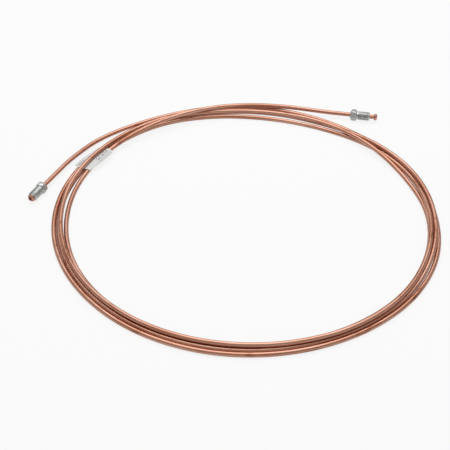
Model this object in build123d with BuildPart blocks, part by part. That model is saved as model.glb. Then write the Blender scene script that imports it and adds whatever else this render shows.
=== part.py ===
from build123d import *
import math
import os

# A brake line as it is sold: a length of bare copper brake tube in a loose coil,
# with a bubble flare and a steel tube nut at each end, and a paper label in its turns.
# The coil lies flat: +Z is up, the floor is Z = 0, X runs to the right and Y to the back.
# The origin is the middle of the whole part's box, on the floor.

# Copper tube
tube_diameter = 4.75
tube_wall = 0.875
coil_radius = 187.0
end_bend_radius = 180.0
left_straight = 77.0
left_heading = 243.9
right_straight = 56.6
right_heading = -10.5

# Bubble flare at each end of the tube
flare_diameter = 7.8
flare_crest = 0.8
flare_mouth = 4.2

# Steel tube nut, M10 x 1
thread_diameter = 9.9
thread_pitch = 1.0
nut_length = 22.0
across_flats = 11.0
head_length = 7.5
head_chamfer_angle = 38.0
head_face_diameter = 7.6
relief_width = 1.6
lead_angle = 30.0
nut_running_gap = 0.08
seat_diameter = 6.6
seat_gap = 0.05
right_nut_drawn_back = 5.4

# Paper label
label_thickness = 0.2
label_length = 40.0
label_angle = 209.0
label_flag_start = 16.0

# The lay of the coil. A row is one turn, seen from above and going clockwise from the
# right. A pair is the tube's place in the bundle at that angle, in tube diameters: how
# far outside the mean circle its axis runs, and how far above lying on the floor.
lay = [
    # first turn, from the back left: on the floor, it drifts in under the others
    [(3.40, 0.34), (1.96, 0), (1.56, 0), (1.02, 0), (0.16, 0), (-0.24, 0), (0.31, 0)],
    # second turn: the outer one on the floor, then up onto the first at the back
    [(0.56, 0), (1.45, 0), (1.62, 0), (1.35, 0), (1.22, 0), (1.22, 0),
     (1.16, 0), (1.05, 0), (1.20, 0), (1.28, 0), (1.22, 0), (0.88, 0),
     (0.72, 0), (-0.50, 0), (-0.84, 0), (-1.16, 0), (-0.80, 0.94), (0.10, 1.01)],
    # third turn: drops between its neighbours, and bows inwards at the back
    [(0.29, 1.03), (0.42, 0.61), (0.57, 0), (0.29, 0), (0.19, 0), (0.17, 0),
     (0.11, 0), (0.02, 0), (0.17, 0), (0.25, 0), (0.19, 0), (-0.42, 0),
     (-0.55, 0), (-2.19, 0), (-3.32, 0), (-3.05, 0), (-1.40, 0), (-0.88, 0.52)],
    # fourth turn: rides on the turns below, crosses over the third and drops inside it
    [(-0.76, 1.11), (-0.57, 1.05), (0.13, 1.03), (0.23, 1.03), (-0.25, 0.97), (-0.44, 0.93),
     (-0.44, 0.93), (-0.46, 0.93), (-0.34, 0.93), (-0.23, 0.93), (0.08, 1.10), (-0.06, 1.10),
     (0.06, 1.03), (-1.60, 0.99), (-2.02, 0.99), (-1.85, 1.10), (-2.32, 1.03), (-2.06, 0)],
    # last stretch: innermost on the floor, then up and over all the others to the outside
    [(-0.88, 0), (-0.63, 0), (-0.48, 0), (-0.76, 0), (-0.86, 0), (-0.93, 0),
     (-0.97, 0), (-1.03, 0), (-1.22, 0), (-1.43, 0), (-1.14, 0), (-1.43, 0.86),
     (-1.81, 1.90), (-1.22, 2.15), (0.84, 1.03)],
]
left_corner = (205.5, 3.56)
right_corner = (298.0, 2.55)

# What follows from the sizes above
station_angle = 360 / len(lay[1])
first_station = 360 - len(lay[0]) * station_angle
tube_radius = tube_diameter / 2
bore_radius = tube_radius - tube_wall
flare_radius = flare_diameter / 2
back_cone_length = flare_radius - tube_radius
front_cone_length = flare_radius - flare_mouth / 2
flare_length = back_cone_length + flare_crest + front_cone_length
nut_bore_radius = tube_radius + nut_running_gap
seat_radius = seat_diameter / 2
end_height = across_flats / 2
thread_radius = thread_diameter / 2
thread_depth = 0.6134 * thread_pitch
thread_lead = 1.5 * thread_depth
shank_length = nut_length - head_length
corner_radius = across_flats / 2 / math.cos(math.radians(30))
head_face_radius = head_face_diameter / 2
chamfer_slope = math.tan(math.radians(head_chamfer_angle))
back_chamfer = (corner_radius - head_face_radius) * chamfer_slope
front_chamfer = (corner_radius - thread_radius) * chamfer_slope
lead_length = thread_lead / math.tan(math.radians(lead_angle))


def place(angle, outward, height):
    """A corner of the route: its arc then touches the true circle between stations."""
    reach = (coil_radius + outward * tube_diameter) / math.cos(math.radians(station_angle / 2))
    turned = math.radians(angle)
    return Vector(reach * math.cos(turned), -reach * math.sin(turned), height)


def route_points():
    """The corners of the tube's centre line, from the left flare to the right one."""
    corner = place(left_corner[0], left_corner[1], end_height)
    away = math.radians(left_heading)
    points = [corner + Vector(math.cos(away), math.sin(away), 0) * left_straight, corner]
    angle = first_station
    for turn in lay:
        for outward, lift in turn:
            points.append(place(angle, outward, tube_radius + lift * tube_diameter))
            angle += station_angle
    corner = place(right_corner[0], right_corner[1], end_height)
    away = math.radians(right_heading)
    points += [corner, corner + Vector(math.cos(away), math.sin(away), 0) * right_straight]
    return points


def bend_radii(points):
    """One radius for each inner corner: as large as its two runs allow."""
    radii = []
    for before, corner, after in zip(points, points[1:], points[2:]):
        run_in = corner - before
        run_out = after - corner
        half_turn = math.radians(run_in.get_angle(run_out) / 2)
        shorter = min(run_in.length, run_out.length)
        radii.append(0.45 * shorter / math.tan(half_turn))
    # the ends stay straight behind the nuts, so that the nuts can run along them
    radii[0] = min(radii[0], end_bend_radius)
    radii[-1] = min(radii[-1], end_bend_radius)
    return radii


def end_plane(tip, before):
    """The flat face of a flare: Z leaves the tube and X is level."""
    outwards = (tip - before).normalized()
    level = Vector(-outwards.Y, outwards.X, 0)
    return Plane(origin=tip, x_dir=level, z_dir=outwards)


def profile_plane(end):
    """Holds half a turned profile: X is the radius and Y runs out along the end's axis."""
    return Plane(origin=end.origin, x_dir=end.x_dir, z_dir=-end.y_dir)


def end_axis(end):
    return Axis(end.origin, end.z_dir)


route = route_points()
radii = bend_radii(route)
left_end = end_plane(route[0], route[1])
right_end = end_plane(route[-1], route[-2])

# The tube: one drawn copper tube, with its flares upset from its own wall
with BuildPart() as tube:
    with BuildLine() as centre_line:
        FilletPolyline(*route, radius=radii)
    tube_length = sum(edge.length for edge in centre_line.edges())
    with BuildSketch(left_end) as section:
        Circle(tube_radius)
    sweep(path=centre_line.wires()[0])
    for end in (left_end, right_end):
        with BuildSketch(profile_plane(end)) as flare:
            with BuildLine():
                Polyline(
                    (0, -flare_length),
                    (tube_radius, -flare_length),
                    (flare_radius, -flare_length + back_cone_length),
                    (flare_radius, -front_cone_length),
                    (flare_mouth / 2, 0),
                    (0, 0),
                    close=True,
                )
            make_face()
        revolve(axis=end_axis(end))
    with BuildSketch(left_end) as bore:
        Circle(bore_radius)
    sweep(path=centre_line.wires()[0], mode=Mode.SUBTRACT)
tube.part.label = "tube"


def tube_nut(front):
    """A male tube nut: front is its face at the flare, with Z pointing out of the line."""
    with BuildPart() as nut:
        with BuildSketch(front.offset(-nut_length)) as hexagon:
            RegularPolygon(radius=across_flats / 2, side_count=6, major_radius=False)
        extrude(amount=head_length)
        # the hexagon's corners are turned off at both of its faces
        with BuildSketch(profile_plane(front)) as turned_head:
            with BuildLine():
                Polyline(
                    (0, -nut_length),
                    (head_face_radius, -nut_length),
                    (corner_radius, -nut_length + back_chamfer),
                    (corner_radius, -shank_length - front_chamfer),
                    (thread_radius, -shank_length),
                    (0, -shank_length),
                    close=True,
                )
            make_face()
        revolve(axis=end_axis(front), mode=Mode.INTERSECT)
        # the threaded shank, with a relief behind the head and a lead at its tip
        with BuildSketch(profile_plane(front)) as shank:
            with BuildLine():
                Polyline(
                    (0, -shank_length),
                    (thread_radius - thread_depth, -shank_length),
                    (thread_radius - thread_depth, -shank_length + relief_width - thread_depth),
                    (thread_radius, -shank_length + relief_width),
                    (thread_radius, -lead_length),
                    (thread_radius - thread_lead, 0),
                    (0, 0),
                    close=True,
                )
            make_face()
        revolve(axis=end_axis(front))
        # the bore that runs on the tube, the 45 degree seat that meets the flare's back,
        # and a small countersink where the tube enters the head
        with BuildSketch(profile_plane(front)) as bore_profile:
            with BuildLine():
                Polyline(
                    (0, -nut_length),
                    (nut_bore_radius + 0.5 * tube_wall, -nut_length),
                    (nut_bore_radius, -nut_length + 0.5 * tube_wall),
                    (nut_bore_radius, nut_bore_radius - seat_radius),
                    (seat_radius, 0),
                    (0, 0),
                    close=True,
                )
            make_face()
        revolve(axis=end_axis(front), mode=Mode.SUBTRACT)
    return nut


# The nut meets the flare where the flare's back cone has the radius of the nut's seat
seated = flare_length - (seat_radius - tube_radius) + seat_gap
left_nut = tube_nut(left_end.offset(-seated))
left_nut.part.label = "left_nut"
right_nut = tube_nut(right_end.offset(-seated - right_nut_drawn_back))
right_nut.part.label = "right_nut"


# The label: one flat slip of paper, tucked in at the back left. It lies on the two turns
# on the floor, passes under the turn that rides on them and lies over the innermost one.
# Its inner side stands out like a flag past the middle cut. Each point is in tube diameters:
# outward from the mean circle, and height of the paper.
label_near_edge = [
    (2.45, 0.96), (1.85, 1.04), (1.20, 1.04), (0.05, 1.04),
    (-0.35, 1.05), (-0.80, 1.27), (-1.25, 1.32), (-1.70, 1.25), (-1.95, 1.19),
]
label_flag_edge = [
    (2.13, 0.96), (1.65, 1.04), (1.10, 1.04), (-0.07, 1.04),
    (-0.43, 1.10), (-0.86, 1.43), (-1.29, 1.52), (-1.76, 1.44), (-2.62, 1.20),
]
label_far_edge = [
    (1.65, 0.96), (1.35, 1.04), (0.95, 1.04), (-0.25, 1.04),
    (-0.55, 1.16), (-0.95, 1.66), (-1.35, 1.80), (-1.85, 1.70), (-2.75, 1.38),
]


def label_section(edge_points, along):
    """A cut across the paper, a step along the line that touches the coil at the label."""
    turned = math.radians(label_angle)
    outward = Vector(math.cos(turned), -math.sin(turned), 0)
    travel = Vector(-math.sin(turned), -math.cos(turned), 0)
    sag = coil_radius - math.sqrt(coil_radius**2 - along**2)
    cut = Plane(origin=outward * (coil_radius - sag) + travel * along, x_dir=outward, z_dir=travel)
    under = [(x * tube_diameter, y * tube_diameter - label_thickness / 2) for x, y in edge_points]
    over = [(x, y + label_thickness) for x, y in reversed(under)]
    with BuildSketch(cut) as strip:
        with BuildLine():
            Polyline(*under, *over, close=True)
        make_face()
    return strip.sketch


with BuildPart() as label:
    loft(
        sections=[
            label_section(label_near_edge, -label_length / 2),
            label_section(label_flag_edge, label_flag_start - label_length / 2),
            label_section(label_far_edge, label_length / 2),
        ],
        ruled=True,
    )
label.part.label = "label"

# The whole part is set with the middle of its box over the origin, on the floor
pieces = [tube.part, left_nut.part, right_nut.part, label.part]
box = Compound(children=[piece.moved(Location()) for piece in pieces]).bounding_box()
to_origin = Vector(-box.center().X, -box.center().Y, -box.min.Z)
os.makedirs("parts", exist_ok=True)
for piece in pieces:
    export_step(piece.moved(Location(to_origin)), f"parts/{piece.label}.step")

section_area = math.pi * (tube_radius**2 - bore_radius**2)
print("coil centre from the origin:", round(to_origin.X, 3), round(to_origin.Y, 3), round(to_origin.Z, 3))
print("tube length:", round(tube_length, 1), "mm, in", len(route) - 1, "runs")
print("bend radii:", *(round(radius) for radius in radii))
print("tube volume:", round(tube.part.volume), "section times length:", round(section_area * tube_length))
print("whole part:", round(box.size.X, 1), round(box.size.Y, 1), round(box.size.Z, 1))
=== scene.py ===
import math
from bisect import bisect_right

import bmesh
import bpy
from mathutils import Matrix, Vector


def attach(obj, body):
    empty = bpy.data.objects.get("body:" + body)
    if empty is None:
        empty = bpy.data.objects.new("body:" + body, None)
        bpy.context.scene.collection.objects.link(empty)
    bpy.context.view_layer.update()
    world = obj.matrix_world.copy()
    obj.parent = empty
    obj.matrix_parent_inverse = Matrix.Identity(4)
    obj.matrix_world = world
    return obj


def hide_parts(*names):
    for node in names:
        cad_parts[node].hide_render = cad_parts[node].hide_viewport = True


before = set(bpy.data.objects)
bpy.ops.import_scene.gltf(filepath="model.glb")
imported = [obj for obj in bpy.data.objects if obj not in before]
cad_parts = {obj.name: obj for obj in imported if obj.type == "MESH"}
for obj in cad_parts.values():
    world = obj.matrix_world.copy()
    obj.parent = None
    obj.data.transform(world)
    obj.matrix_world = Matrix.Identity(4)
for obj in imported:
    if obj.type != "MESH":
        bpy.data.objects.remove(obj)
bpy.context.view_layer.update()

# The tube is one length of drawn copper brake tube, a little over five metres, hollow and left
# bare. It is wound by hand into a loose coil of four turns and a bit, so its turns differ in size
# and cross at the back. Each end is upset into a bubble flare from the tube's own wall.
mm = 0.001
tube_diameter = 4.75 * mm
tube_wall = 0.875 * mm
tube_radius = tube_diameter / 2
bore_radius = tube_radius - tube_wall
coil_radius = 187.0 * mm
coil_centre = Vector((15.32, -0.29, 0)) * mm
end_bend_radius = 180.0 * mm
end_height = 5.5 * mm
left_straight = 77.0 * mm
left_heading = 243.9
right_straight = 56.6 * mm
right_heading = -10.5

# A row is one turn, seen from above and going clockwise from the right. A pair is the tube's
# place in the bundle, in tube diameters: outside the mean circle, and above lying on the floor.
lay = [
    # first turn, from the back left: on the floor, it drifts in under the others
    [(3.40, 0.34), (1.96, 0), (1.56, 0), (1.02, 0), (0.16, 0), (-0.24, 0), (0.31, 0)],
    # second turn: the outer one on the floor, then up onto the first at the back
    [(0.56, 0), (1.45, 0), (1.62, 0), (1.35, 0), (1.22, 0), (1.22, 0),
     (1.16, 0), (1.05, 0), (1.20, 0), (1.28, 0), (1.22, 0), (0.88, 0),
     (0.72, 0), (-0.50, 0), (-0.84, 0), (-1.16, 0), (-0.80, 0.94), (0.10, 1.01)],
    # third turn: drops between its neighbours, and bows inwards at the back
    [(0.29, 1.03), (0.42, 0.61), (0.57, 0), (0.29, 0), (0.19, 0), (0.17, 0),
     (0.11, 0), (0.02, 0), (0.17, 0), (0.25, 0), (0.19, 0), (-0.42, 0),
     (-0.55, 0), (-2.19, 0), (-3.32, 0), (-3.05, 0), (-1.40, 0), (-0.88, 0.52)],
    # fourth turn: rides on the turns below, crosses over the third and drops inside it
    [(-0.76, 1.11), (-0.57, 1.05), (0.13, 1.03), (0.23, 1.03), (-0.25, 0.97), (-0.44, 0.93),
     (-0.44, 0.93), (-0.46, 0.93), (-0.34, 0.93), (-0.23, 0.93), (0.08, 1.10), (-0.06, 1.10),
     (0.06, 1.03), (-1.60, 0.99), (-2.02, 0.99), (-1.85, 1.10), (-2.32, 1.03), (-2.06, 0)],
    # last stretch: innermost on the floor, then up and over all the others to the outside
    [(-0.88, 0), (-0.63, 0), (-0.48, 0), (-0.76, 0), (-0.86, 0), (-0.93, 0),
     (-0.97, 0), (-1.03, 0), (-1.22, 0), (-1.43, 0), (-1.14, 0), (-1.43, 0.86),
     (-1.81, 1.90), (-1.22, 2.15), (0.84, 1.03)],
]
left_corner = (205.5, 3.56)
right_corner = (298.0, 2.55)
station_angle = 360 / len(lay[1])
first_station = 360 - len(lay[0]) * station_angle


def place(angle, outward, height):
    """A point of the route, by its angle round the coil and its place in the bundle."""
    reach = (coil_radius + outward * tube_diameter) / math.cos(math.radians(station_angle / 2))
    bearing = math.radians(angle)
    return coil_centre + Vector((reach * math.cos(bearing), -reach * math.sin(bearing), height))


def straight_end(corner, heading, run, after):
    """The end of the tube, and the point that keeps it straight as far as its first bend."""
    away = Vector((math.cos(math.radians(heading)), math.sin(math.radians(heading)), 0))
    half_turn = away.angle(corner - after) / 2
    # the spline starts to turn halfway from that point to the corner, where the bend begins
    bend_start = end_bend_radius * math.tan(half_turn)
    return corner + away * run, corner + away * (2 * bend_start)


route = []
angle = first_station
for turn in lay:
    for outward, lift in turn:
        route.append(place(angle, outward, tube_radius + lift * tube_diameter))
        angle += station_angle
corner = place(*left_corner, end_height)
left_tip, left_hold = straight_end(corner, left_heading, left_straight, route[0])
route[:0] = [left_tip, left_hold, corner]
corner = place(*right_corner, end_height)
right_tip, right_hold = straight_end(corner, right_heading, right_straight, route[-1])
route += [corner, right_hold, right_tip]

# its line is one smooth spline on those points, read back as a row of close points
curve = bpy.data.curves.new("route", "CURVE")
curve.dimensions = "3D"
curve.resolution_u = 24
spline = curve.splines.new("NURBS")
spline.points.add(len(route) - 1)
for control, point in zip(spline.points, route):
    control.co = (*point, 1)
spline.order_u = 3
spline.use_endpoint_u = True
carrier = bpy.data.objects.new("route", curve)
traced = bpy.data.meshes.new_from_object(carrier)
path = [vertex.co.copy() for vertex in traced.vertices]
bpy.data.objects.remove(carrier)
bpy.data.curves.remove(curve)
bpy.data.meshes.remove(traced)

# how far along the tube each point is, and which way is sideways there, with no twist between
along = [0.0]
ahead = [(path[1] - path[0]).normalized()]
sideways = [ahead[0].cross(Vector((0, 0, 1))).normalized()]
for before, point, after in zip(path, path[1:], path[2:] + [path[-1]]):
    along.append(along[-1] + (point - before).length)
    ahead.append((after - before).normalized())
    side = sideways[-1]
    sideways.append((side - side.dot(ahead[-1]) * ahead[-1]).normalized())
tube_length = along[-1]

flare_radius = 3.9 * mm
flare_crest = 0.8 * mm
flare_mouth = 2.1 * mm
flare_rounding = 0.4 * mm
mouth_depth = 1.1 * mm
back_cone = flare_radius - tube_radius
front_cone = flare_radius - flare_mouth
tube_step = 5.0 * mm
tube_sides = 24
same_point = 0.001 * mm


def turned(bm, profile, sides, closed=False, climb=0):
    """A profile, its points given as radius and height, turned once round the axis as it climbs.

    It is built ring by ring, because bmesh.ops.spin lists its faces in another order each run.
    """
    rings = []
    for side in range(sides + 1 if climb else sides):
        turn = Matrix.Rotation(2 * math.pi * side / sides, 3, "Z")
        rise = climb * side / sides
        rings.append(
            [bm.verts.new(turn @ Vector((radius, 0, height + rise))) for radius, height in profile]
        )
    if not climb:
        rings.append(rings[0])
    for ring, next_ring in zip(rings, rings[1:]):
        rungs = list(zip(ring, next_ring))
        next_rungs = rungs[1:] + rungs[:1] if closed else rungs[1:]
        for (near, far), (next_near, next_far) in zip(rungs, next_rungs):
            bm.faces.new((near, far, next_far, next_near))


def sharp_edges(bm, least_angle):
    """The edges where two faces meet at more than that many degrees."""
    return [
        edge
        for edge in bm.edges
        if edge.is_manifold and edge.calc_face_angle() > math.radians(least_angle)
    ]


def as_made(bm, name):
    """Closes a shape up and keeps, for its finish, where each point is before it is moved."""
    bmesh.ops.remove_doubles(bm, verts=bm.verts, dist=same_point)
    bmesh.ops.recalc_face_normals(bm, faces=bm.faces)
    made = bm.verts.layers.float_vector.new("as_made")
    for vertex in bm.verts:
        vertex[made] = vertex.co
    mesh = bpy.data.meshes.new(name)
    bm.to_mesh(mesh)
    bm.free()
    piece = bpy.data.objects.new(name, mesh)
    bpy.context.scene.collection.objects.link(piece)
    return piece


def shade(piece, sharp_angle):
    """Smooth shading, apart from the edges that are sharper than that many degrees."""
    piece.data.shade_smooth()
    piece.data.set_sharp_from_angle(angle=math.radians(sharp_angle))


# the tube is made straight, with its flares, and then bent along its line
bm = bmesh.new()
half_flare = [
    (bore_radius, mouth_depth),
    (flare_mouth, 0),
    (flare_radius, front_cone),
    (flare_radius, front_cone + flare_crest),
    (tube_radius, front_cone + flare_crest + back_cone),
]
wall = half_flare + [(radius, tube_length - height) for radius, height in reversed(half_flare)]
# the wall's two long sides, outside and in the bore, are cut into short steps so that they can bend
tube_steps = round(tube_length / tube_step) + 1
stepped_wall = []
for (radius, height), (_, next_height) in zip(wall, wall[1:] + wall[:1]):
    length = next_height - height
    steps = tube_steps if abs(length) > tube_length / 2 else 1
    stepped_wall += [(radius, height + length * step / steps) for step in range(steps)]
turned(bm, stepped_wall, tube_sides, closed=True)
bmesh.ops.remove_doubles(bm, verts=bm.verts, dist=same_point)
bmesh.ops.recalc_face_normals(bm, faces=bm.faces)
bmesh.ops.bevel(
    bm,
    geom=[edge for edge in sharp_edges(bm, least_angle=30) if edge.is_convex],
    offset=flare_rounding,
    affect="EDGES",
    segments=4,
    profile=0.5,
    material=-1,
    clamp_overlap=True,
)
copper_tube = as_made(bm, "copper_tube")
for vertex in copper_tube.data.vertices:
    x, y, distance = vertex.co
    first = min(max(bisect_right(along, distance) - 1, 0), len(path) - 2)
    share = (distance - along[first]) / (along[first + 1] - along[first])
    side = sideways[first].lerp(sideways[first + 1], share).normalized()
    forward = ahead[first].lerp(ahead[first + 1], share)
    up = forward.cross(side).normalized()
    vertex.co = path[first].lerp(path[first + 1], share) + side * x + up * y
shade(copper_tube, sharp_angle=60)
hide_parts("tube")
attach(copper_tube, "line")


class Wire:
    """A number from a node, so that sums on it are written as plain arithmetic."""

    def __init__(self, finish, socket):
        self.finish = finish
        self.socket = socket

    def sum_of(self, operation, first, second):
        return self.finish.node("Math", {"operation": operation}, {0: first, 1: second})

    def __add__(self, other):
        return self.sum_of("ADD", self, other)

    def __sub__(self, other):
        return self.sum_of("SUBTRACT", self, other)

    def __rsub__(self, other):
        return self.sum_of("SUBTRACT", other, self)

    def __mul__(self, other):
        return self.sum_of("MULTIPLY", self, other)

    def __gt__(self, other):
        return self.sum_of("GREATER_THAN", self, other)

    def __lt__(self, other):
        return self.sum_of("LESS_THAN", self, other)

    __radd__ = __add__
    __rmul__ = __mul__


class Finish:
    """A material, and the nodes that vary it over its piece."""

    def __init__(self, name):
        self.material = bpy.data.materials.new(name)
        self.material.use_nodes = True
        self.tree = self.material.node_tree
        self.shader = self.tree.nodes["Principled BSDF"]

    def set(self, socket, value):
        if isinstance(value, Wire):
            self.tree.links.new(value.socket, socket)
        else:
            socket.default_value = value

    def node(self, kind, settings, inputs, output=0):
        """Any node: its settings and ramp stops first, then its sockets' values or wires."""
        made = self.tree.nodes.new("ShaderNode" + kind)
        for name, value in settings.items():
            if name == "stops":
                ramp = made.color_ramp.elements
                while len(ramp) < len(value):
                    ramp.new(1.0)
                for stop, (position, colour) in zip(ramp, value):
                    stop.position = position
                    stop.color = (*colour, 1)
            else:
                setattr(made, name, value)
        for name, value in inputs.items():
            self.set(made.inputs[name], value)
        return Wire(self, made.outputs[output])

    def surface(self, **inputs):
        """Sets the shader's own sockets, by their names with _ for a space."""
        for name, value in inputs.items():
            self.set(self.shader.inputs[name.replace("_", " ")], value)

    def noise(self, where, stretch, detail=2.0, roughness=0.5):
        """Mottling: stretch is how many patches there are to a metre, each way."""
        spread = self.node("Mapping", {}, {"Vector": where, "Scale": stretch})
        return self.node(
            "TexNoise",
            {},
            {"Vector": spread, "Scale": 1.0, "Detail": detail, "Roughness": roughness},
        )

    def ramp(self, factor, stops):
        return self.node("ValToRGB", {"stops": stops}, {"Fac": factor})

    def bump(self, height, strength, distance):
        return self.node(
            "Bump", {}, {"Height": height, "Strength": strength, "Distance": distance}
        )


# bare drawn copper: satin, pinkish where it is clean and browner where it has begun to dull,
# with fine lines from the die along it, short scuffs from handling and a few darker stains
copper = Finish("bare_drawn_copper")
on_tube = copper.node("Attribute", {"attribute_name": "as_made"}, {}, output=1)
tarnish = copper.noise(on_tube, (90, 90, 14), detail=3.0)
die_lines = copper.noise(on_tube, (2600, 2600, 12), detail=2.0)
scuffs = copper.noise(on_tube, (700, 700, 420), detail=4.0, roughness=0.65)
marked = (scuffs > 0.61) * 0.5
stains = copper.node(
    "Math",
    {"operation": "MULTIPLY", "use_clamp": True},
    {0: copper.noise(on_tube, (170, 170, 50), detail=3.0) - 0.60, 1: 4.0},
)
copper.surface(
    Base_Color=copper.ramp(
        tarnish * 0.75 + die_lines * 0.25 - stains * 0.5,
        [
            (0.10, (0.27, 0.105, 0.06)),
            (0.34, (0.46, 0.20, 0.122)),
            (0.50, (0.59, 0.305, 0.215)),
            (0.66, (0.68, 0.40, 0.30)),
        ],
    ),
    Metallic=1.0,
    Roughness=0.24 + die_lines * 0.08 + tarnish * 0.10 + marked * 0.10,
    Normal=copper.bump(die_lines * 0.7 + scuffs * 0.3, 0.25, 0.012 * mm),
)
copper_tube.data.materials.append(copper.material)

# Each nut is turned from hexagonal steel bar, 11 mm across its flats, threaded M10 x 1 and zinc
# plated. It runs loose on the tube, and its 45 degree seat meets the back of the flare. The left
# one is up against its flare, and the right one is drawn back from it.
across_flats = 11.0 * mm
nut_length = 22.0 * mm
head_length = 7.5 * mm
head_chamfer_angle = 38.0
head_face_radius = 3.8 * mm
lead_angle = 30.0
thread_radius = 4.95 * mm
thread_pitch = 1.0 * mm
# the proportions of a metric thread
thread_crest = thread_pitch / 8
thread_depth = 0.6134 * thread_pitch
thread_flank = thread_depth * math.tan(math.radians(30))
thread_root = thread_pitch - thread_crest - 2 * thread_flank
thread_lead = 1.5 * thread_depth
relief_width = 1.6 * mm
running_gap = 0.08 * mm
nut_bore_radius = tube_radius + running_gap
seat_radius = 3.3 * mm
seat_gap = 0.05 * mm
seated = front_cone + flare_crest + back_cone - (seat_radius - tube_radius) + seat_gap
right_nut_drawn_back = 5.4 * mm
shank_length = nut_length - head_length
core_radius = thread_radius - thread_depth
tip_radius = thread_radius - thread_lead
corner_radius = across_flats / 2 / math.cos(math.radians(30))
chamfer_slope = math.tan(math.radians(head_chamfer_angle))
back_chamfer = (corner_radius - head_face_radius) * chamfer_slope
front_chamfer = (corner_radius - thread_radius) * chamfer_slope
lead_slope = math.tan(math.radians(lead_angle))
countersink = 0.5 * tube_wall
relief_top = relief_width - thread_depth - shank_length
thread_end = relief_top - 0.3 * thread_pitch
edge_break = 0.12 * mm
nut_sides = 72
touching = 0.01 * mm


def cut_thread(bm):
    """The thread's outline, four corners to a pitch, turned once round as it climbs one pitch."""
    outline = []
    height = -shank_length - thread_pitch
    while height < 2 * thread_pitch:
        outline += [
            (core_radius, height),
            (core_radius, height + thread_root),
            (thread_radius, height + thread_root + thread_flank),
            (thread_radius, height + thread_root + thread_flank + thread_crest),
        ]
        height += thread_pitch
    turned(bm, outline, nut_sides, climb=thread_pitch)
    bmesh.ops.remove_doubles(bm, verts=bm.verts, dist=same_point)
    # it fades out in the lead at the tip and in the relief behind it
    for corner in bm.verts:
        radius = corner.co.xy.length
        most = min(
            max(tip_radius, tip_radius - corner.co.z * lead_slope),
            max(core_radius, core_radius + corner.co.z - relief_top),
        )
        corner.co.xy *= min(1, most / radius)
    rims = []
    for height, facing in ((0, 1), (thread_end, -1)):
        cut = bmesh.ops.bisect_plane(
            bm,
            geom=[*bm.verts, *bm.edges, *bm.faces],
            plane_co=(0, 0, height),
            plane_no=(0, 0, facing),
            clear_outer=True,
        )
        rims.append([item for item in cut["geom_cut"] if isinstance(item, bmesh.types.BMEdge)])
    return rims


def rim_at(bm, radius, height):
    """The open rim of a turned shape, at that radius and height."""
    return [
        edge
        for edge in bm.edges
        if edge.is_boundary
        and all(abs(end.co.z - height) < touching for end in edge.verts)
        and all(abs(end.co.xy.length - radius) < touching for end in edge.verts)
    ]


def tube_nut(name, tip, inwards, drawn_back):
    """A nut on the tube's end, its tip drawn back from touching the flare."""
    bm = bmesh.new()
    tip_rim, relief_rim = cut_thread(bm)
    body = [
        (seat_radius, 0),
        (nut_bore_radius, nut_bore_radius - seat_radius),
        (nut_bore_radius, countersink - nut_length),
        (nut_bore_radius + countersink, -nut_length),
        (head_face_radius, -nut_length),
        (corner_radius, back_chamfer - nut_length),
        (corner_radius, -front_chamfer - shank_length),
        (thread_radius, -shank_length),
        (core_radius, -shank_length),
    ]
    turned(bm, body, nut_sides)
    bmesh.ops.bridge_loops(bm, edges=tip_rim + rim_at(bm, seat_radius, 0))
    bmesh.ops.bridge_loops(bm, edges=relief_rim + rim_at(bm, core_radius, -shank_length))
    bmesh.ops.recalc_face_normals(bm, faces=bm.faces)
    # the six flats of the bar, level ones above and below
    for flat in range(6):
        facing = Matrix.Rotation(math.radians(30 + 60 * flat), 3, "Z") @ Vector((1, 0, 0))
        cut = bmesh.ops.bisect_plane(
            bm,
            geom=[*bm.verts, *bm.edges, *bm.faces],
            plane_co=facing * across_flats / 2,
            plane_no=facing,
            clear_outer=True,
        )
        rim = [item for item in cut["geom_cut"] if isinstance(item, bmesh.types.BMEdge)]
        bmesh.ops.contextual_create(bm, geom=rim)
    bmesh.ops.remove_doubles(bm, verts=bm.verts, dist=same_point)
    head_edges = [
        edge
        for edge in sharp_edges(bm, least_angle=20)
        if all(end.co.z < -shank_length + touching for end in edge.verts)
        and all(end.co.xy.length > head_face_radius - touching for end in edge.verts)
    ]
    bmesh.ops.bevel(
        bm,
        geom=head_edges,
        offset=edge_break,
        affect="EDGES",
        segments=2,
        profile=0.5,
        material=-1,
        clamp_overlap=True,
    )
    nut = as_made(bm, name)
    out = -inwards
    level = Vector((-out.y, out.x, 0)).normalized()
    upright = out.cross(level)
    front = tip - out * (seated + drawn_back)
    axes = Matrix((level, upright, out)).transposed().to_4x4()
    nut.data.transform(Matrix.Translation(front) @ axes)
    shade(nut, sharp_angle=25)
    nut.data.materials.append(zinc.material)
    return nut


# bright zinc with a clear passivation, a little cooler where it is darker: fine turning lines
# round the axis, soft clouds in the plating and small rubbed spots
zinc = Finish("clear_zinc_plating")
on_nut = zinc.node("Attribute", {"attribute_name": "as_made"}, {}, output=1)
clouds = zinc.noise(on_nut, (220, 220, 220), detail=3.0)
grain = zinc.noise(on_nut, (2400, 2400, 2400), detail=2.0)
turning = zinc.noise(on_nut, (60, 60, 5200), detail=1.0)
rubbed = (grain > 0.64) * 0.6
zinc.surface(
    Base_Color=zinc.ramp(
        clouds * 0.8 + grain * 0.2,
        [
            (0.34, (0.45, 0.465, 0.47)),
            (0.50, (0.60, 0.615, 0.60)),
            (0.66, (0.71, 0.715, 0.68)),
        ],
    ),
    Metallic=1.0,
    Roughness=0.22 + clouds * 0.14 + turning * 0.06 + rubbed * 0.08,
    Normal=zinc.bump(turning * 0.6 + grain * 0.4, 0.25, 0.008 * mm),
)
left_nut = tube_nut("left_tube_nut", left_tip, (left_hold - left_tip).normalized(), 0)
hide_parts("left_nut")
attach(left_nut, "left_nut")
right_nut = tube_nut(
    "right_tube_nut", right_tip, (right_hold - right_tip).normalized(), right_nut_drawn_back
)
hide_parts("right_nut")
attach(right_nut, "right_nut")

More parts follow.
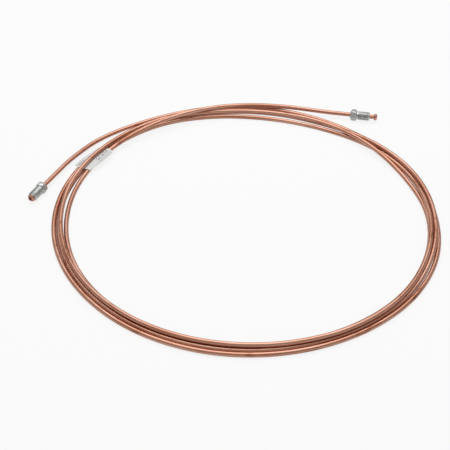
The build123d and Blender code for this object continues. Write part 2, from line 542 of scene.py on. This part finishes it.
# The label is one slip of white paper, tucked flat between the turns at the back left. It lies on
# the two outer turns, passes under the one that rides on them and ends over the innermost.
label_thickness = 0.16 * mm
label_length = 40.0 * mm
label_angle = 209.0
label_flag_start = 16.0 * mm
label_steps = 6
near_edge = [
    (2.45, 0.96), (1.85, 1.04), (1.20, 1.04), (0.05, 1.04),
    (-0.35, 1.05), (-0.80, 1.27), (-1.25, 1.32), (-1.70, 1.25), (-1.95, 1.19),
]
flag_edge = [
    (2.13, 0.96), (1.65, 1.04), (1.10, 1.04), (-0.07, 1.04),
    (-0.43, 1.10), (-0.86, 1.43), (-1.29, 1.52), (-1.76, 1.44), (-2.62, 1.20),
]
far_edge = [
    (1.65, 0.96), (1.35, 1.04), (0.95, 1.04), (-0.25, 1.04),
    (-0.55, 1.16), (-0.95, 1.66), (-1.35, 1.80), (-1.85, 1.70), (-2.75, 1.38),
]
label_turn = math.radians(label_angle)
out_from_coil = Vector((math.cos(label_turn), -math.sin(label_turn), 0))
along_label = Vector((-math.sin(label_turn), -math.cos(label_turn), 0))


def edge_of_label(bm, points, step_along):
    """One cut edge of the paper, its points in tube diameters from the coil's mean circle."""
    base = math.sqrt(coil_radius**2 - step_along**2)
    corners = [
        bm.verts.new(
            coil_centre
            + out_from_coil * (base + reach * tube_diameter)
            + along_label * step_along
            + Vector((0, 0, height * tube_diameter))
        )
        for reach, height in points
    ]
    return [bm.edges.new(pair) for pair in zip(corners, corners[1:])]


bm = bmesh.new()
near_row = edge_of_label(bm, near_edge, -label_length / 2)
flag_row = edge_of_label(bm, flag_edge, label_flag_start - label_length / 2)
far_row = edge_of_label(bm, far_edge, label_length / 2)
bmesh.ops.bridge_loops(bm, edges=near_row + flag_row)
bmesh.ops.bridge_loops(bm, edges=flag_row + far_row)
rows = {*near_row, *flag_row, *far_row}
crosswise = [edge for edge in bm.edges if edge not in rows]
bmesh.ops.subdivide_edges(bm, edges=crosswise, cuts=label_steps - 1, use_grid_fill=True)
label = as_made(bm, "paper_label")
if label.data.polygons[0].normal.z < 0:
    label.data.flip_normals()
shade(label, sharp_angle=60)
thickness = label.modifiers.new("thickness", "SOLIDIFY")
thickness.thickness = label_thickness
thickness.offset = 0
softness = label.modifiers.new("softness", "SUBSURF")
softness.levels = 2
softness.render_levels = 2
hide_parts("label")
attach(label, "line")

# uncoated white paper, a little grey from handling, with plain grey marks that spell nothing: a
# row of short bars on its outer flap, broken lines on its flag, and a painted shadow line along the
# flag's edge
paper = Finish("white_label_paper")
on_label = paper.node("Attribute", {"attribute_name": "as_made"}, {}, output=1)

# where the ink is: outward from a line inside the coil, and lengthwise from the near edge
ink_origin = coil_radius - 20 * mm
bar_pitch, bar_width = 1.5 * mm, 0.65 * mm
bars_outward = (25.2 * mm, 27.6 * mm)
bars_lengthwise = (1.5 * mm, 13.0 * mm)
line_pitch, line_width = 2.3 * mm, 0.9 * mm
dash_pitch, dash_length = 6.4 * mm, 5.2 * mm
dash_shift = 2.7 * mm
lines_outward = (9.6 * mm, 15.5 * mm)
lines_lengthwise = (18.0 * mm, 37.0 * mm)
edge_shadow_outward = (9.1 * mm, 9.6 * mm)
edge_shadow_lengthwise = (18.0 * mm, 38.0 * mm)
flag_slant = 0.068


def measured(direction, start):
    """How far each point of the paper is from the start, in that direction."""
    reach = paper.node(
        "VectorMath", {"operation": "DOT_PRODUCT"}, {0: on_label, 1: direction}, output=1
    )
    return reach - start


def between(length, least, most):
    return (length > least) * (length < most)


def repeated(length, pitch, inked):
    """Stripes of ink, one to each pitch."""
    place_in_pitch = paper.node("Math", {"operation": "FRACT"}, {0: length * (1 / pitch)})
    return place_in_pitch < inked / pitch


outward = measured(out_from_coil, coil_centre.dot(out_from_coil) + ink_origin)
lengthwise = measured(along_label, coil_centre.dot(along_label) - label_length / 2)
fibres = paper.noise(on_label, (1900, 1900, 1900), detail=3.0)
handling = paper.noise(on_label, (110, 110, 110), detail=3.0)
bars = repeated(lengthwise, bar_pitch, bar_width)
bars = bars * between(lengthwise, *bars_lengthwise) * between(outward, *bars_outward)
# each line's dashes are shifted against those of the line before
line_number = paper.node("Math", {"operation": "FLOOR"}, {0: outward * (1 / line_pitch)})
dashes = repeated(lengthwise + line_number * dash_shift, dash_pitch, dash_length)
lines = repeated(outward, line_pitch, line_width) * dashes
lines = lines * between(lengthwise, *lines_lengthwise) * between(outward, *lines_outward)
# a thin line of painted shade keeps to the flag's slanting inner edge, standing in for the shadow
# at the edge of a paper layer
from_flag_edge = outward + lengthwise * flag_slant
edge_shadow_line = between(from_flag_edge, *edge_shadow_outward) * between(lengthwise, *edge_shadow_lengthwise)
paper.surface(
    Base_Color=paper.ramp(
        handling * 0.7 + fibres * 0.3 - (bars + lines + edge_shadow_line) * 0.5,
        [
            (0.0, (0.22, 0.22, 0.23)),
            (0.32, (0.72, 0.72, 0.70)),
            (0.66, (0.82, 0.82, 0.80)),
        ],
    ),
    Roughness=0.58 + fibres * 0.16,
    Normal=paper.bump(fibres, 0.3, 0.03 * mm),
)
label.data.materials.append(paper.material)

# The stage is a plain white floor under one large soft lamp, which hangs above and a little behind
# the coil in a dim grey room. The camera sees the floor mostly as plain white, with a faint shadow
# of the coil on it, and the metal sees it as partly white.
floor_size = 30.0
floor_grey = (0.86, 0.86, 0.86, 1)
white = (1.0, 1.0, 1.0, 1)
glow_to_camera = 0.84
glow_to_metal = 0.35
lamp_place = (0, 0.45, 1.25)
lamp_aim = (0, 0, 0)
lamp_size = (1.5, 1.5)
lamp_brightness = 1.8
room_grey = (0.42, 0.42, 0.42, 1)
far_floor_white = (0.91, 0.91, 0.91, 1)
bm = bmesh.new()
bmesh.ops.create_grid(bm, x_segments=1, y_segments=1, size=floor_size / 2)
floor = as_made(bm, "floor")
ground = Finish("white_floor")
ground.surface(Base_Color=floor_grey, Roughness=0.9, Specular_IOR_Level=0.0)
light_path = ground.tree.nodes.new("ShaderNodeLightPath")
seen_directly, seen_reflected, seen_through = (
    Wire(ground, light_path.outputs[f"Is {kind} Ray"])
    for kind in ("Camera", "Glossy", "Transmission")
)
seen = seen_directly * glow_to_camera + (seen_reflected + seen_through) * glow_to_metal
glow = ground.node("Emission", {}, {"Color": white, "Strength": 1.0})
shown = ground.node(
    "MixShader", {}, {0: seen, 1: Wire(ground, ground.shader.outputs[0]), 2: glow}
)
ground.set(ground.tree.nodes["Material Output"].inputs["Surface"], shown)
floor.data.materials.append(ground.material)


def soft_lamp(name, place, aim, size, brightness):
    """A rectangular soft box of an even brightness, seen in the metal as a pale panel."""
    lamp = bpy.data.lights.new(name, "AREA")
    lamp.shape = "RECTANGLE"
    lamp.size, lamp.size_y = size
    lamp.energy = brightness * math.pi * size[0] * size[1]
    holder = bpy.data.objects.new(name, lamp)
    holder.location = place
    holder.rotation_euler = (Vector(aim) - Vector(place)).to_track_quat("-Z", "Y").to_euler()
    bpy.context.scene.collection.objects.link(holder)


soft_lamp("overhead", lamp_place, lamp_aim, lamp_size, lamp_brightness)

# past the floor's far edge the camera sees the floor's own white
world = bpy.data.worlds.new("room")
world.use_nodes = True
nodes, links = world.node_tree.nodes, world.node_tree.links
room = nodes["Background"]
room.inputs["Color"].default_value = room_grey
far_white = nodes.new("ShaderNodeBackground")
far_white.inputs["Color"].default_value = far_floor_white
either = nodes.new("ShaderNodeMixShader")
links.new(nodes.new("ShaderNodeLightPath").outputs["Is Camera Ray"], either.inputs[0])
links.new(room.outputs[0], either.inputs[1])
links.new(far_white.outputs[0], either.inputs[2])
links.new(either.outputs[0], nodes["World Output"].inputs["Surface"])
bpy.context.scene.world = world

# The camera looks down on the coil from the front, as the photograph does, with a long lens from
# a metre away. It aims a little to the left of the middle and nearer, to frame the coil the same.
camera_elevation = math.radians(40.0)
camera_distance = 1.05
camera_aim = coil_centre + Vector((-21.5, -14.5, 0)) * mm
back = Vector((0, -math.cos(camera_elevation), math.sin(camera_elevation)))
camera = bpy.data.objects.new("camera", bpy.data.cameras.new("camera"))
camera.data.sensor_width = 36.0
camera.data.lens = 84.0
camera.location = camera_aim + back * camera_distance
camera.rotation_euler = (-back).to_track_quat("-Z", "Y").to_euler()
bpy.context.scene.collection.objects.link(camera)
bpy.context.scene.camera = camera
bpy.context.scene.view_settings.view_transform = "Standard"
